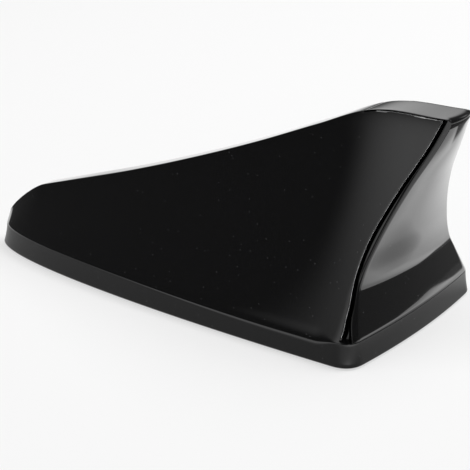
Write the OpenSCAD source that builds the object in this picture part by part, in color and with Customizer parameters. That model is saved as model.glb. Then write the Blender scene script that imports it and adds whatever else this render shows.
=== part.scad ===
// Shark fin roof aerial with a glossy moulded fin, a separate tail panel and a stick-on base.
// Frame: +X runs from the nose to the tail, +Z up, XZ is the plane of symmetry.
// z = 0 is the roof, under the adhesive pad. The origin is the middle of the pad.
// All sizes are in millimetres.

/* [Fin shell] */
// Length of the base, nose to the middle of the rear edge
base_len = 162; // [140:1:190]
// Width of the base over the rear corners
base_w = 81.4; // [70:0.2:95]
// Height of the plateau above the roof
fin_h = 66.2; // [56:0.2:80]
// Height of the upright skirt round the base
skirt_h = 7.25; // [6:0.25:9]
// Gap between the rim of the skirt and the roof
rim_gap = 0.3; // [0.2:0.1:0.8]
// How far the skirt leans in at its top along the sides and the rear
skirt_draft = 0.9; // [0.4:0.1:1.5]
// How far the skirt leans back at the nose
nose_draft = 3; // [1.5:0.5:5]
// Bow of the rear edge, seen from above
rear_sag = 2; // [0:0.5:4]
// Radius of the rear corners of the skirt
corner_r = 6; // [4:0.5:9]
// Radius of the upright corners between the flanks and the rear face
edge_r = 1.4; // [1:0.2:2.4]
// Radius of the rear edge of the plateau
top_r = 3; // [2:0.5:4]
// Half width of the plateau at the tail
plateau_half = 7.4; // [6.8:0.2:9.5]
// Rise of the rounded ridge over its edges
crown_h = 0.4; // [0.3:0.1:1.2]
// Wall of the shell at the ridge and the rear face
shell_t = 2.2; // [1.8:0.1:2.6]

/* [Joint of the tail panel] */
// Width of the open groove between flank and tail panel
groove_w = 1.2; // [0.8:0.1:1.8]
// Width of the groove where it meets the skirt
groove_foot = 3.6; // [2.4:0.2:4.4]
// Width of the hairline seams round the plateau
seam = 0.25; // [0.15:0.05:0.4]
// Thickness of the plateau's rim over the cover
lid_rim = 0.4; // [0.4:0.1:0.9]
// Play between the tail panel's inner parts and the cover
panel_play = 0.3; // [0.2:0.05:0.5]

/* [Base] */
// Thickness of the adhesive pad
pad_t = 1.2; // [0.8:0.1:2]
// Thickness of the base plate
plate_t = 2.6; // [2.4:0.1:3.2]
// Wall of the skirt at its rim
skirt_t = 2.4; // [2.2:0.1:3]
// Play between the base plate and the skirt
plate_play = 0.2; // [0.1:0.05:0.4]
// Height of the rubber seal between base plate and cover
seal_h = 1.2; // [0.8:0.1:1.6]
// Bore of the grommet for the lead
lead_bore = 3.2; // [2.4:0.2:4.4]

/* [Electronics] */
// Thickness of the circuit board
board_t = 1.6; // [1:0.2:2]
// Height of the board's underside over the base plate
board_lift = 4.2; // [3.8:0.2:5]
// Height of the shield can over the board
can_h = 4.6; // [3.6:0.2:5.4]
// Sheet of the radiator plate
sheet_t = 0.6; // [0.4:0.1:0.8]
// Turns of the loading coil
coil_turns = 9; // [5:1:9]
// Diameter of the coil's wire
wire_d = 1; // [0.6:0.1:1.2]
// Clear gap between the top of the radiator and the shell's ridge
radiator_gap = 4; // [3:0.5:7]

/* [What to draw] */
// Part to draw on its own, or all

/* [Hidden] */
$fn = 48;

// Scales that keep the inner pieces in place when the shell is resized
kx = base_len / 162;
ky = base_w / 81.4;

// Levels
skirt_top = rim_gap + skirt_h;
ledge_z = skirt_top - 0.1;
fin_top = fin_h;
plate_z = pad_t;
plate_top = plate_z + plate_t;
seal_top = plate_top + seal_h;
board_z = plate_top + board_lift;
board_top = board_z + board_t;

// Ends of the base in plan
nose_x = -base_len / 2;
rear_x = base_len / 2 - rear_sag;
half_full = base_w / 2;

// Number of stations along the fin and rows up the flank
stations = 40;
rows = 13;

// Height of the ridge along the base: fraction of the length, fraction of the height
ridge_shape = [
    [0.074, 0.316], [0.198, 0.404], [0.352, 0.514], [0.506, 0.637],
    [0.660, 0.773], [0.784, 0.894], [0.898, 1.001], [1.056, 1.000]
];
// Half width of the ridge: fraction of the length, fraction of the plateau's half width
ridge_width = [[0.05, 0.38], [0.3, 0.58], [0.6, 0.68], [0.85, 0.82], [1.06, 1]];
// Rear edge in side view: fraction of the height, offset from the rear corners of the base
tail_shape = [[0, -0.9], [0.15, -3], [0.38, -3.5], [0.65, 2.7], [0.85, 8.3], [1, 12]];
// Length and fullness of the rounded nose above the skirt
dome_len = 17 * kx;
dome_pow = 1.55;
// Hollow of the flanks at the nose and at the tail: 1 is straight
nose_hollow = 1.05;
tail_hollow = 1.27;

// Start of the plateau, and the place of the groove ahead of the tail's corner and at its foot
lid_x = 63 * kx;
groove_back = 1.1;
groove_bend = 1.2;
lip_t = 1.7;

// Smooth curve through a list of [position, value] knots
function knot(k, x, i = 0) = i >= len(k) - 2 || x < k[i + 1][0] ? i : knot(k, x, i + 1);
function chord(k, i) = (k[i + 1][1] - k[i][1]) / (k[i + 1][0] - k[i][0]);
function run(k, i) = k[i + 1][0] - k[i][0];
function slope(k, i) =
    i == 0 ? chord(k, 0) :
    i == len(k) - 1 ? chord(k, i - 1) :
    (chord(k, i - 1) * run(k, i) + chord(k, i) * run(k, i - 1)) / (run(k, i) + run(k, i - 1));
function curve(k, x) =
    let (c = min(max(x, k[0][0]), k[len(k) - 1][0]))
    let (i = knot(k, c), h = run(k, i), t = (c - k[i][0]) / h)
    (2 * t * t * t - 3 * t * t + 1) * k[i][1] + (t * t * t - 2 * t * t + t) * h * slope(k, i)
    + (3 * t * t - 2 * t * t * t) * k[i + 1][1] + (t * t * t - t * t) * h * slope(k, i + 1);

// Outline of the base: half width at x, a rounded nose that widens with a slight bow
function half_w(x) =
    let (s = max((x - nose_x) / (rear_x - nose_x), 0))
    half_full * pow(s, 0.45) * (1 + 0.1 * s * (1 - s));

// The same outline at the top of the skirt, leaning in
function half_top(x) =
    let (x0 = nose_x + nose_draft)
    let (u = max((x - x0) / (rear_x - x0), 0))
    half_w(nose_x + u * (rear_x - nose_x)) * (1 - skirt_draft / half_full);

// Height of the ridge at x: the knots, brought down to the skirt round the nose
function ridge_raw(x) =
    let (s = (x - nose_x) / base_len, k0 = ridge_shape[0])
    fin_top * (s < k0[0] ? k0[1] + slope(ridge_shape, 0) * (s - k0[0]) : curve(ridge_shape, s));
function ridge_z(x) =
    let (u = min(max((x - nose_x - nose_draft) / dome_len, 0), 1))
    skirt_top + (ridge_raw(x) - skirt_top) * sqrt(max(1 - pow(1 - u, dome_pow), 0));
function ridge_half(x) =
    min(plateau_half * curve(ridge_width, (x - nose_x) / base_len), 0.6 * half_top(x));

// Rear edge in side view at height fraction v
function tail_x(v) = rear_x + curve(tail_shape, v);
function v_of(z) = min(max((z - skirt_top) / (fin_top - skirt_top), 0), 1);

// One point of the flank at x and height fraction v, drawn in by d
function inset_y(d, v) = d * (1.9 - 0.9 * v);
function flank(x, v, d) =
    let (s = min(max((x - nose_x) / base_len, 0), 1))
    let (e = nose_hollow + (tail_hollow - nose_hollow) * s)
    let (w = ridge_half(x), a = half_top(x), top = ridge_z(x) - 1.2 * d)
    [x, max(w + (a - w) * pow(1 - v, e) - inset_y(d, v), 0.12), skirt_top + (top - skirt_top) * v];

// Quadratic curve that rounds a corner
function round3(p, c, q, t) = p * pow(1 - t, 2) + c * 2 * t * (1 - t) + q * t * t;

// Half of a closed row: side from the nose, rounded corner, rear edge to the middle
function ease(t) = (1 - cos(180 * t)) / 2;
function half_row(side, rear, r, sag) =
    let (end = rear[0], ye = rear[1], ze = rear[2])
    let (p = side[len(side) - 1], yq = ye - r)
    let (c = [end, ye, p[2]], q = [end + sag * (1 - pow(yq / ye, 2)), yq, ze])
    concat(
        side,
        [for (t = [0.2, 0.4, 0.6, 0.8, 1]) round3(p, c, q, t)],
        [for (f = [0.62, 0.2]) [end + sag * (1 - pow(yq * f / ye, 2)), yq * f, ze]]
    );
function mirrored(half) =
    concat([for (p = half) [p[0], -p[1], p[2]]], [for (i = [len(half) - 1:-1:0]) half[i]]);
function span(a, b) = [for (i = [0:stations]) a + (b - a) * (0.0004 + 0.9996 * ease(i / stations))];

// Rows of the fin: skirt, flank, then the rounded ridge
function skirt_row(z, f, d) =
    let (xa = nose_x + nose_draft * f + 2.3 * d, xe = rear_x - skirt_draft * f - d)
    let (r = corner_r - f - d / 4)
    let (side = [for (x = span(xa, xe - r))
        [x, max((f > 0.5 ? half_top(x) : half_w(x)) - inset_y(d, 0), 0.12), z]])
    let (ye = (f > 0.5 ? half_top(xe) : half_w(xe)) - inset_y(d, 0))
    mirrored(half_row(side, [xe, ye, z], r, rear_sag));
function flank_row(v, d) =
    let (xa = nose_x + nose_draft + 2.3 * d, xe = tail_x(v) - d)
    let (r = edge_r + max(corner_r - 1 - edge_r, 0) * pow(1 - v, 6))
    let (side = [for (x = span(xa, xe - r)) flank(x, v, d)])
    let (e = flank(xe, v, d), sag = rear_sag * (1 - 0.6 * v))
    mirrored(half_row(side, [xe, e[1], e[2] - top_r * pow(v, 30)], min(r, e[1] * 0.45), sag));
function crown_row(f, up, back, drop, d) =
    let (xa = nose_x + nose_draft + 2.3 * d + 0.2 * (1 - f), xe = tail_x(1) - d - back)
    let (r = max(edge_r - back, 0.6) * (d == 0 ? 1 : 0.5))
    let (side = [for (x = span(xa, xe - r))
        let (p = flank(x, 1, d), q = ridge_half(x) / plateau_half) [x, p[1] * f, p[2] + up * q]])
    let (e = flank(xe, 1, d))
    mirrored(half_row(side, [xe, e[1] * f, e[2] + up - drop], r, rear_sag * 0.4));

// Closed skin over a stack of rows, the first closing the bottom and the last the top
module skin(loops) {
    n = len(loops[0]);
    m = len(loops);
    half = floor(n / 2);
    polyhedron(
        points = [for (l = loops) each l],
        faces = concat(
            [for (k = [0:m - 2]) for (i = [0:n - 1])
                let (a = k * n + i, b = k * n + (i + 1) % n) each [[a, a + n, b + n], [a, b + n, b]]],
            [for (i = [0:half - 2]) let (a = i, b = i + 1, c = n - 2 - i, e = n - 1 - i)
                each [[a, b, c], [a, c, e]]],
            [for (i = [0:half - 2]) let (o = (m - 1) * n)
                let (a = o + i, b = o + i + 1, c = o + n - 2 - i, e = o + n - 1 - i)
                each [[a, c, b], [a, e, c]]]
        ),
        convexity = 8
    );
}

// The whole fin as one solid, drawn in by d; the inner ones start at height low
module fin_solid(d = 0, low = 0) {
    first = d == 0 ? [skirt_row(rim_gap, 0, 0), skirt_row(rim_gap + skirt_h * 0.45, 0.6, 0)]
                   : [skirt_row(low, 1, d)];
    skin(concat(
        first,
        [for (k = [0:rows]) flank_row(k / rows, d)],
        [crown_row(0.88, crown_h * 0.65, top_r * 0.3, top_r * 0.3, d)],
        [crown_row(0.58, crown_h, top_r, 0, d)]
    ));
}

// Base outline in plan, drawn in by d and set back at the nose, where the skirt leans
module base_outline(d) {
    intersection() {
        for_outline(d);
        translate([nose_draft, 0]) for_outline(d);
    }
}

module for_outline(d) {
    offset(delta = -d) polygon([for (p = skirt_row(0, 0, 0)) [p[0], p[1]]]);
}

// Side view regions behind the groove, above the plateau's rim, and the slot under the plateau
module from_side(points) {
    rotate([90, 0, 0]) translate([0, 0, -base_w]) linear_extrude(2 * base_w) polygon(points);
}

module tail_zone(ahead, foot, low) {
    high = fin_top + 8;
    from_side(concat(
        [for (i = [0:16]) let (v = i / 16)
            [tail_x(v) - groove_back - groove_bend * pow(1 - v, 6) - ahead - foot * pow(1 - v, 24),
                low + (fin_top - low) * v]],
        [[tail_x(1) - groove_back - ahead, high], [rear_x + 40, high], [rear_x + 40, low]]
    ));
}

module lid_zone(x0, drop) {
    xe = tail_x(1);
    from_side(concat(
        [for (i = [0:8]) let (x = x0 + (xe - x0) * i / 8) [x, ridge_z(x) - drop]],
        [[xe + 20, fin_top - drop], [xe + 20, fin_top + 8], [x0, fin_top + 8]]
    ));
}

module lid_slot(x0, lip, low, high) {
    xe = tail_x(1);
    side = [for (i = [0:6]) let (x = x0 + (xe - x0) * i / 6) [x, ridge_half(x) - lip]];
    translate([0, 0, low]) linear_extrude(high - low)
        polygon(concat(side, [for (i = [6:-1:0]) [side[i][0], -side[i][1]]]));
}

// Fixing points
base_fix = [[-62 * kx, 0], [-8 * kx, 20 * ky], [-8 * kx, -20 * ky], [66 * kx, 27 * ky], [66 * kx, -27 * ky]];
board_fix = [[-24 * kx, 11], [-24 * kx, -11], [48 * kx, 11], [48 * kx, -11]];
carrier_fix = [-7 * kx, 35 * kx];
outlet_x = 62 * kx;
boss_r = 3;
screw_r = 1.3;
screw_play = 0.15;
head_r = 2.8;
head_h = 1.2;
post_r = 3;
small_r = 1.1;

// One-piece cover: nose, flanks, ridge and skirt, with screw bosses inside
module fin_cover() {
    color("#141416") resize([0, 0, 0]) difference() {
        union() {
            difference() {
                fin_solid();
                fin_solid(d = shell_t, low = seal_top - 0.6);
                translate([0, 0, -1]) linear_extrude(seal_top + 1) base_outline(skirt_t);
            }
            intersection() {
                fin_solid(d = 0.4, low = 0);
                for (p = base_fix) translate([p[0], p[1], plate_top + screw_play])
                    cylinder(r = boss_r, h = 30, $fn = 24);
            }
        }
        tail_zone(groove_w, groove_foot - groove_w, ledge_z);
        lid_zone(lid_x - seam, lid_rim + seam);
        lid_slot(lid_x + lip_t, lip_t, fin_top - 6, fin_top + 8);
        for (p = base_fix) translate([p[0], p[1], 0])
            cylinder(r = screw_r + screw_play, h = plate_top + 7.5, $fn = 16);
    }
}

// Tail panel: plateau and hollow rear face in one piece, with a tongue behind the groove
module tail_panel() {
    color("#17171a") resize([0, 0, 0]) union() {
        intersection() {
            difference() {
                fin_solid();
                fin_solid(d = shell_t + panel_play + 0.1, low = 0);
            }
            tail_zone(0, 0, ledge_z);
        }
        intersection() {
            fin_solid();
            union() {
                lid_zone(lid_x, lid_rim);
                intersection() {
                    lid_slot(lid_x + lip_t + panel_play, lip_t + panel_play, fin_top - 6, fin_top + 8);
                    lid_zone(lid_x, 1.2 * shell_t);
                }
            }
        }
        difference() {
            intersection() {
                fin_solid(d = shell_t + panel_play, low = 0);
                tail_zone(groove_w + 2.5, 2, ledge_z + 0.3);
            }
            fin_solid(d = shell_t + panel_play + 1.2, low = 0);
            scale([1.1, 0.7, 1.05]) fin_solid(d = shell_t, low = 0);
            tail_zone(-1.5, -2, ledge_z - 1);
        }
        for (s = [-1, 1]) intersection() {
            fin_solid(d = 1, low = 0);
            translate([tail_x(0) - 5, s * 20 * ky - 3, 0]) union() {
                translate([0, 0, seal_top + 0.4]) cube([5 - shell_t - panel_play + 1, 6, ledge_z + 2 - seal_top - 0.4]);
                translate([0, 0.1, ledge_z + 0.2]) cube([8, 5.8, 4]);
            }
        }
    }
}

// Moulded base plate with screw wells, board posts and the lead outlet
module base_plate() {
    color("#232326") difference() {
        union() {
            translate([0, 0, plate_z]) linear_extrude(plate_t) base_outline(skirt_t + plate_play);
            for (p = board_fix) translate([p[0], p[1], plate_z]) cylinder(r = post_r, h = board_z - plate_z);
        }
        for (p = base_fix) translate([p[0], p[1], 0]) {
            translate([0, 0, plate_z - 1]) cylinder(r = screw_r + screw_play, h = plate_t + 2);
            translate([0, 0, plate_z - 1]) cylinder(r = head_r + screw_play, h = head_h + 1 + screw_play);
        }
        for (p = board_fix) translate([p[0], p[1], board_z - 5]) cylinder(r = small_r + 0.1, h = 6);
        translate([outlet_x, 0, plate_z - 1]) cylinder(r = 4.5, h = plate_t + 2);
    }
}

// Foam pad that sticks the aerial to the roof
module adhesive_pad() {
    color("#2b2b2e") linear_extrude(pad_t) difference() {
        base_outline(skirt_t + plate_play + 3.4);
        translate([outlet_x, 0]) circle(r = 6);
    }
}

// Rubber ring squeezed between the base plate and the ledge of the cover
module cover_seal() {
    color("#1c1c1e") translate([0, 0, plate_top]) linear_extrude(seal_h) difference() {
        base_outline(skirt_t + plate_play);
        base_outline(skirt_t + plate_play + 1.5);
    }
}

// Rubber grommet in the outlet; the lead itself is not part of the model
module cable_grommet() {
    color("#202022") translate([outlet_x, 0, 0]) difference() {
        union() {
            translate([0, 0, pad_t - 0.5]) cylinder(r = 4.5, h = plate_t + 0.5);
            translate([0, 0, plate_top]) cylinder(r = 6.2, h = 1.4);
            translate([0, 0, plate_top + 1.4]) cylinder(r1 = 4.4, r2 = 3, h = 2.4);
        }
        translate([0, 0, -1]) cylinder(d = lead_bore, h = 12);
    }
}

// Tinned earth plate on the base plate, round the board posts
module ground_plate() {
    color("#b9bcc0") translate([0, 0, plate_top]) linear_extrude(0.6) difference() {
        translate([-32 * kx, -16]) square([86 * kx, 32]);
        for (p = board_fix) translate([p[0], p[1]]) circle(r = post_r + 0.3);
        for (p = base_fix) translate([p[0], p[1]]) circle(r = boss_r + 0.5);
    }
}

// Folded spring that joins the earth plate to the board
module earth_spring() {
    color("#c9b37a") translate([10 * kx, 10, 0]) {
        translate([0, 0, plate_top + 0.6]) cube([8, 3, 0.4]);
        translate([7.6, 0, plate_top + 1]) cube([0.4, 3, board_lift - 1.4]);
        translate([2, 0, board_z - 0.4]) cube([6, 3, 0.4]);
    }
}

// Amplifier board on the four posts
module circuit_board() {
    color("#1f5b39") translate([0, 0, board_z]) difference() {
        translate([-28 * kx, -14, 0]) cube([80 * kx, 28, board_t]);
        for (p = board_fix) translate([p[0], p[1], -1]) cylinder(r = small_r + 0.25, h = board_t + 2);
        for (x = carrier_fix) translate([x, 0, -1]) cylinder(r = small_r + 0.25, h = board_t + 2);
    }
}

// Folded can over the amplifier
module shield_can() {
    color("#c3c6ca") translate([0, -9, board_top]) difference() {
        cube([20 * kx, 18, can_h]);
        translate([0.4, 0.4, -1]) cube([20 * kx - 0.8, 17.2, can_h + 0.6]);
    }
}

// Amplifier in the can
module amplifier_chip() {
    color("#101012") translate([7 * kx, -3, board_top]) cube([6, 6, 1]);
}

// Small resistors and capacitors, soldered round the amplifier
module chip_components() {
    color("#8d7a5c") {
        for (y = [-6.5, 5.7]) for (x = [3.5, 8.5, 13.5]) translate([x * kx, y, board_top]) cube([2, 1, 0.7]);
        for (y = [-10.5, 9.5]) translate([-4 * kx, y, board_top]) cube([2.4, 1.3, 0.9]);
    }
}

// Wound choke in the supply to the amplifier
module supply_choke() {
    color("#3a3a3d") translate([27 * kx, -10, board_top]) {
        cylinder(r = 3.2, h = 0.8);
        cylinder(r = 2.5, h = 4);
        translate([0, 0, 3.2]) cylinder(r = 3.2, h = 0.8);
    }
}

// Can capacitor beside it
module buffer_capacitor() {
    color("#a9adb3") translate([27 * kx, 10, board_top]) cylinder(r = 2.5, h = 5.8);
}

// Coaxial socket for the lead, facing the outlet
module lead_socket() {
    color("#b08d4a") translate([45.5 * kx, 0, board_top]) {
        translate([0, -3.4, 0]) cube([5, 6.8, 5.6]);
        translate([4.9, 0, 3]) rotate([0, 90, 0]) difference() {
            cylinder(r = 2.4, h = 4);
            translate([0, 0, 0.5]) cylinder(r = 1.7, h = 5);
        }
        translate([5, 0, 3]) rotate([0, 90, 0]) cylinder(r = 0.45, h = 3.2);
    }
}

// Top edge of the radiator, held below the ridge of the shell
function mast_z(x) = ridge_z(x) - 1.2 * shell_t - radiator_gap;
coil_x = 27 * kx;
coil_r = 4;
coil_top = board_top + 0.5 * (mast_z(coil_x) - board_top);
web_low = board_top + can_h + 2;
web_mid = coil_top + 6;
web_t = 3;

// Upright carrier that stands on the board and holds the radiator plate
module radiator_carrier() {
    color("#e4e2da") {
        difference() {
            union() {
                translate([0, web_t / 2, 0]) rotate([90, 0, 0]) linear_extrude(web_t) polygon(concat(
                    [[-20 * kx, board_top], [-20 * kx, mast_z(-20 * kx)]],
                    [for (i = [1:8]) let (x = (-20 + 10.5 * i) * kx) [x, mast_z(x)]],
                    [[64 * kx, web_mid + 9], [44 * kx, web_mid], [44 * kx, board_top]],
                    [[38 * kx, board_top], [38 * kx, web_mid], [19 * kx, web_mid], [19 * kx, web_low]],
                    [[-12 * kx, web_low], [-12 * kx, board_top]]
                ));
                translate([-20 * kx, -5, board_top]) cube([16.5 * kx, 10, 3]);
                translate([32.5 * kx, -5, board_top]) cube([11.5 * kx, 10, 3]);
            }
            for (x = carrier_fix) translate([x, 0, board_top - 1]) cylinder(r = small_r + 0.1, h = 3.4);
        }
        for (x = [0, 20, 56]) translate([x * kx, -web_t / 2 - sheet_t - 0.5, mast_z(x * kx) - 3.6])
            rotate([-90, 0, 0]) cylinder(r = 1.2, h = sheet_t + 0.6);
    }
}

// Sheet radiator staked to the side of the carrier
module radiator_plate() {
    color("#c98d53") translate([0, -web_t / 2, 0]) rotate([90, 0, 0]) linear_extrude(sheet_t) difference() {
        polygon(concat(
            [for (i = [0:8]) let (x = (-18 + 10 * i) * kx) [x, mast_z(x) - 1]],
            [[62 * kx, web_mid + 10], [44 * kx, web_mid + 1.5], [19 * kx, web_mid + 1.5]],
            [[-2 * kx, web_low + 2], [-18 * kx, web_low + 2]]
        ));
        for (x = [0, 20, 56]) translate([x * kx, mast_z(x * kx) - 3.6]) circle(r = 1.3);
    }
}

// Former of the loading coil, standing on the board
module coil_former() {
    color("#d8d5cb") translate([coil_x, 0, board_top]) {
        cylinder(r = coil_r, h = coil_top - board_top);
        cylinder(r = coil_r + 1.4, h = 1);
        translate([0, 0, coil_top - board_top - 1]) cylinder(r = coil_r + 1.4, h = 1);
    }
}

// Loading coil: round wire wound on the former, as one swept tube
module radiator_coil() {
    sides = 6;
    per = 14;
    steps = per * coil_turns;
    low = board_top + 1 + wire_d;
    pitch = (coil_top - 1 - wire_d - low) / coil_turns;
    rc = coil_r + wire_d / 2 + 0.16;
    color("#b5723a") translate([coil_x, 0, 0]) polyhedron(
        points = [for (i = [0:steps]) for (j = [0:sides - 1])
            let (a = 360 * i / per, b = 360 * j / sides, r = rc + wire_d / 2 * cos(b))
            [r * cos(a), r * sin(a), low + pitch * i / per + wire_d / 2 * sin(b)]],
        faces = concat(
            [for (i = [0:steps - 1]) for (j = [0:sides - 1])
                let (p = i * sides + j, q = i * sides + (j + 1) % sides)
                each [[p, q, q + sides], [p, q + sides, p + sides]]],
            [[for (j = [sides - 1:-1:0]) j]],
            [[for (j = [0:sides - 1]) steps * sides + j]]
        ),
        convexity = 10
    );
}

// Clip that joins the top of the coil to the radiator plate
module feed_clip() {
    color("#c9b37a") {
        translate([coil_x - 2, -web_t / 2 - sheet_t - 0.5, coil_top]) cube([4, 0.5, web_mid + 5 - coil_top]);
        translate([coil_x - 2, -web_t / 2 - sheet_t - 0.5, coil_top]) cube([4, 3.5, 0.5]);
    }
}

// Screw turned from a countersunk head and a plain shank
module screw(r, h, hr, hh) {
    cylinder(r = r, h = h);
    cylinder(r = hr, h = hh);
}

// Screws that pull the cover down on the base plate
module base_screws() {
    color("#8f9398") for (p = base_fix) translate([p[0], p[1], plate_z]) screw(screw_r, plate_t + 6, head_r, head_h);
}

// Screws that hold the board to its posts
module board_screws() {
    color("#8f9398") for (p = board_fix) translate([p[0], p[1], board_top + 1.4]) rotate([180, 0, 0])
        screw(small_r, board_t + 1.4 + 4, 2, 1.4);
}

// Screws from under the board into the feet of the carrier
module carrier_screws() {
    color("#8f9398") for (x = carrier_fix) translate([x, 0, board_z - 1.3]) screw(small_r, board_t + 1.3 + 2, 2, 1.3);
}

fin_cover();
tail_panel();
base_plate();
adhesive_pad();
cover_seal();
cable_grommet();
ground_plate();
earth_spring();
circuit_board();
shield_can();
amplifier_chip();
chip_components();
supply_choke();
buffer_capacitor();
lead_socket();
radiator_carrier();
radiator_plate();
coil_former();
radiator_coil();
feed_clip();
base_screws();
board_screws();
carrier_screws();
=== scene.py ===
# %% [markdown]
# # A shark fin roof aerial
# The part is a glossy black moulding about 17 cm long that sticks to a car's roof. The packed
# solids are loaded first as a fixed frame. Everything made here lies in that frame: +X runs from
# the nose to the tail, +Z is up, z = 0 is the roof, and all lengths are in metres.

import math

import bmesh
import bpy
import numpy as np
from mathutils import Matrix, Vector


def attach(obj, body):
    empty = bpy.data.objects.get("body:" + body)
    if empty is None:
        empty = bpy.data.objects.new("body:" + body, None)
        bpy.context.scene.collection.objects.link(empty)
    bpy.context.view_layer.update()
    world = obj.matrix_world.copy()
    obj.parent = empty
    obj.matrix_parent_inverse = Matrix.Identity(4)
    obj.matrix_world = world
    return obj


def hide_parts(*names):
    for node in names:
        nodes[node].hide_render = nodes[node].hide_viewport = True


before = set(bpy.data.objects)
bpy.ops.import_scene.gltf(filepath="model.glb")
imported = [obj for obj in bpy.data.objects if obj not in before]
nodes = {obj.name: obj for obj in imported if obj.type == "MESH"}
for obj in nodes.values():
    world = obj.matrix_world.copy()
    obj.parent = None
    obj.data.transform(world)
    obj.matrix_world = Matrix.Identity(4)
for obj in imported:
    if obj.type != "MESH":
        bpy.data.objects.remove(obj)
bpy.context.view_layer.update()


# %% [markdown]
# The camera comes before any shape, because it says which faces are seen. Its angles were fitted
# to the outline in the photograph: it stands 33 degrees round from the side and 18 degrees up.
# The focal length and the picture's side are in pixels, the sensor is in millimetres.

# %% Camera
AZIMUTH, ELEVATION, DISTANCE = 33.1, 18.4, 0.4787
AIM = Vector((0.01424, 0, 0.01765))
SENSOR, FOCAL_LENGTH, PICTURE_SIDE = 36, 1500, 470


def towards(azimuth, elevation):
    a, e = math.radians(azimuth), math.radians(elevation)
    return Vector((math.sin(a) * math.cos(e), -math.cos(a) * math.cos(e), math.sin(e)))


back = towards(AZIMUTH, ELEVATION)
bpy.ops.object.camera_add(location=AIM + DISTANCE * back)
camera = bpy.context.object
camera.name = "camera"
camera.rotation_euler = (-back).to_track_quat("-Z", "Y").to_euler()
camera.data.lens = SENSOR * FOCAL_LENGTH / PICTURE_SIDE
camera.data.clip_start = 0.02
bpy.context.scene.camera = camera
print("camera at", [round(1000 * c) for c in camera.location], "lens", round(camera.data.lens, 1))

# %% [markdown]
# The fin is a stack of rows. Each row lies at one share of the height and runs from the nose along
# the flank, round the upright corner to the middle of the rear. The solids are built on such rows,
# and a few sizes were set finer here afterwards, by little more than a millimetre at most. All
# sizes are in millimetres. RIM is how far the skirt stays off the roof, LEDGE is where the tail
# panel stands, and LOWER drops the rear ends of the rows to make room for the plateau's round edge.
# The curves are lists of knots: those of the ridge go by the share of the length, and those of the
# rear face and of the panel's edge by the share of the height.

# %% Main sizes of the fin
BASE_LEN, NOSE_X, REAR_X, HALF = 162.0, -81.0, 79.0, 40.7
RIM, SKIRT_H, FIN_TOP, PLATEAU = 0.3, 7.25, 66.5, 7.4
NOSE_DRAFT, SKIRT_DRAFT, SAG = 1.8, 0.9, 2.5
CORNER_R, EDGE_R, TOP_R, CROWN = 6.6, 1.0, 2.3, 0.12
LID_X, LID_RIM, SEAM, GROOVE, GROOVE_FOOT = 63.0, 0.05, 0.35, 1.2, 3.6
WALL = 2.0
SKIRT_TOP = RIM + SKIRT_H
LEDGE = SKIRT_TOP - 0.1
LOWER = TOP_R / (FIN_TOP - SKIRT_TOP)

RIDGE = [(0.074, 0.316), (0.198, 0.404), (0.352, 0.514), (0.506, 0.637),
         (0.660, 0.773), (0.784, 0.894), (0.898, 1.001), (1.056, 1.010)]
RIDGE_WIDTH = [(0.05, 0.38), (0.3, 0.58), (0.6, 0.68), (0.85, 0.82), (1.06, 1)]
TAIL = [(0, -0.9), (0.14, -3.0), (0.21, -3.85), (0.26, -3.75),
        (0.4, -2.2), (0.65, 2.7), (0.85, 8.3), (1, 12)]
PANEL_EDGE = [(0, 0.4), (0.08, 0.8), (0.2, 0.2), (0.28, 0.7),
              (0.4, 1.4), (0.6, 1.05), (0.8, 0.5), (1, 0.35)]
print("fin", BASE_LEN, "mm long, skirt", SKIRT_H, "mm high, ridge up to", FIN_TOP, "mm")

# %% [markdown]
# A few functions turn these sizes into the shape. The base is blunt in front like half an egg, the
# ridge rises out of the nose in a short round, and the flanks are hollow, more so at the rear.
# Formulas were chosen over outlines drawn by hand, because they have no dents that a gloss shows.

# %% Outline, ridge and flank
BLUNT, BELLY = 0.45, 0.1
NOSE_ROUND, NOSE_BEND = 17, 1.55
WIDEST_RIDGE = 0.6
HOLLOW, HOLLOW_REAR = 1.05, 0.22


def curve(knots, x):
    """A smooth curve through the knots, for a number or an array."""
    k = np.array(knots, float)
    run = np.diff(k[:, 0])
    chord = np.diff(k[:, 1]) / run
    inner = (chord[:-1] * run[1:] + chord[1:] * run[:-1]) / (run[1:] + run[:-1])
    slope = np.concatenate([chord[:1], inner, chord[-1:]])
    x = np.clip(x, k[0, 0], k[-1, 0])
    i = np.clip(np.searchsorted(k[:, 0], x, side="right") - 1, 0, len(run) - 1)
    h = run[i]
    t = (x - k[i, 0]) / h
    return ((2 * t**3 - 3 * t**2 + 1) * k[i, 1] + (t**3 - 2 * t**2 + t) * h * slope[i]
            + (3 * t**2 - 2 * t**3) * k[i + 1, 1] + (t**3 - t**2) * h * slope[i + 1])


def outline_half(s):
    """Half width of the base at a fraction of its length."""
    s = np.maximum(s, 0)
    return HALF * s**BLUNT * (1 + BELLY * s * (1 - s))


def skirt_half(x, f):
    """Half width of the skirt, from f = 0 at the rim to f = 1 at its top."""
    x0 = NOSE_X + NOSE_DRAFT * f
    return outline_half((x - x0) / (REAR_X - x0)) * (1 - SKIRT_DRAFT * f / HALF)


def ridge_z(x):
    """Height of the ridge, straight on ahead of its first knot and rounded off at the nose."""
    s = (x - NOSE_X) / BASE_LEN
    first = (RIDGE[1][1] - RIDGE[0][1]) / (RIDGE[1][0] - RIDGE[0][0])
    raw = FIN_TOP * np.where(s < RIDGE[0][0], RIDGE[0][1] + first * (s - RIDGE[0][0]), curve(RIDGE, s))
    u = np.clip((x - NOSE_X - NOSE_DRAFT) / NOSE_ROUND, 0, 1)
    return SKIRT_TOP + (raw - SKIRT_TOP) * np.sqrt(np.maximum(1 - (1 - u)**NOSE_BEND, 0))


def ridge_half(x):
    """Half width of the flat ridge."""
    wide = PLATEAU * curve(RIDGE_WIDTH, (x - NOSE_X) / BASE_LEN)
    return np.minimum(wide, WIDEST_RIDGE * skirt_half(x, 1))


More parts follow.
